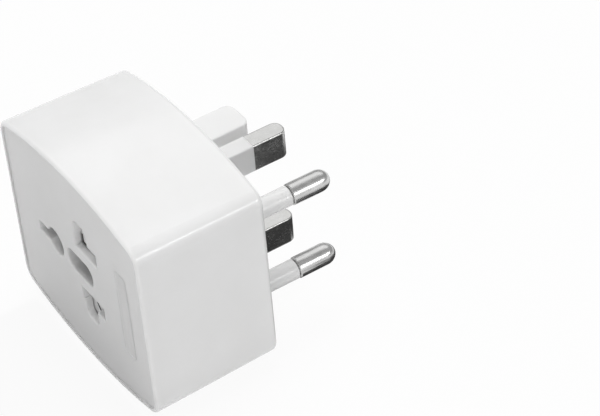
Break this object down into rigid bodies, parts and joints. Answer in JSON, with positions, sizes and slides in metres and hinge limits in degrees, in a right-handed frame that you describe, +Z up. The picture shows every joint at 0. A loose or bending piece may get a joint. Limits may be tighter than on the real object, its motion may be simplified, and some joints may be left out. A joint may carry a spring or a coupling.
{
  "type": "universal travel adapter",
  "caption": "White travel plug adapter: a multi-standard socket on the front and slide-out UK, European and US or Australian plug pins on the back.",
  "frame": {"origin": "middle of the wall face, the flat face that the plug pins come out of", "axes": "+Y out along the plug pins, +Z up across the live and neutral pins, +X to the right as seen from the socket"},
  "size_m": [0.0543, 0.0496, 0.0478],
  "materials": {
    "case_plastic": "fine satin, moulded",
    "plate_plastic": "fine satin, moulded",
    "inner_plastic": "plain moulded",
    "pin_plastic": "smooth moulded",
    "knob_plastic": "ridged, moulded",
    "nickel": "nickel plated, satin to bright",
    "contact_metal": "spring brass",
    "spring_steel": "bright steel"
  },
  "bodies": {
    "casing": {"rear_shell": "case_plastic", "socket_plate": "plate_plastic", "case_screws": "spring_steel", "live_contact": "contact_metal", "neutral_contact": "contact_metal", "live_contact_housing": "inner_plastic", "neutral_contact_housing": "inner_plastic", "live_bus": "contact_metal", "neutral_bus": "contact_metal", "shutter_springs": "spring_steel"},
    "shutter": {"shutter": "inner_plastic"},
    "uk_set": {"uk_carriage": "inner_plastic", "uk_live_pin": "nickel", "uk_neutral_pin": "nickel", "uk_live_sleeve": "pin_plastic", "uk_neutral_sleeve": "pin_plastic", "uk_earth_pin": "pin_plastic", "uk_knob": "knob_plastic"},
    "eu_set": {"eu_carriage": "inner_plastic", "eu_live_pin": "nickel", "eu_neutral_pin": "nickel", "eu_live_sleeve": "pin_plastic", "eu_neutral_sleeve": "pin_plastic", "eu_knob": "knob_plastic"},
    "us_set": {"us_carriage": "inner_plastic", "us_knob": "knob_plastic"},
    "live_blade": {"us_live_blade": "nickel", "live_blade_clip": "spring_steel"},
    "neutral_blade": {"us_neutral_blade": "nickel", "neutral_blade_clip": "spring_steel"},
    "live_disc": {"live_disc": "inner_plastic"},
    "neutral_disc": {"neutral_disc": "inner_plastic"}
  },
  "joints": [
    {"name": "uk_slide", "type": "slide", "parent": "casing", "child": "uk_set", "axis": [0, 1, 0], "range_m": [-0.0212, 0]},
    {"name": "eu_slide", "type": "slide", "parent": "casing", "child": "eu_set", "axis": [0, 1, 0], "range_m": [-0.0193, 0]},
    {"name": "us_slide", "type": "slide", "parent": "casing", "child": "us_set", "axis": [0, 1, 0], "range_m": [0, 0.017]},
    {"name": "live_blade_twist", "type": "hinge", "parent": "us_set", "child": "live_blade", "pos_m": [-0.0072, 0, 0.00635], "axis": [0, 1, 0], "range_deg": [0, 30]},
    {"name": "neutral_blade_twist", "type": "hinge", "parent": "us_set", "child": "neutral_blade", "pos_m": [-0.0072, 0, -0.00635], "axis": [0, 1, 0], "range_deg": [-30, 0]},
    {"name": "live_disc_turn", "type": "hinge", "parent": "casing", "child": "live_disc", "pos_m": [-0.0072, 0, 0.00635], "axis": [0, 1, 0], "range_deg": [0, 30]},
    {"name": "neutral_disc_turn", "type": "hinge", "parent": "casing", "child": "neutral_disc", "pos_m": [-0.0072, 0, -0.00635], "axis": [0, 1, 0], "range_deg": [-30, 0]},
    {"name": "shutter_slide", "type": "slide", "parent": "casing", "child": "shutter", "axis": [1, 0, 0], "range_m": [0, 0.0088], "stiffness_N_per_m": 20, "springref_m": -0.004, "deforming": ["shutter_springs"]}
  ],
  "couplings": [
    {"joint": "live_disc_turn", "follows": "live_blade_twist", "ratio": 1},
    {"joint": "neutral_disc_turn", "follows": "neutral_blade_twist", "ratio": 1}
  ]
}
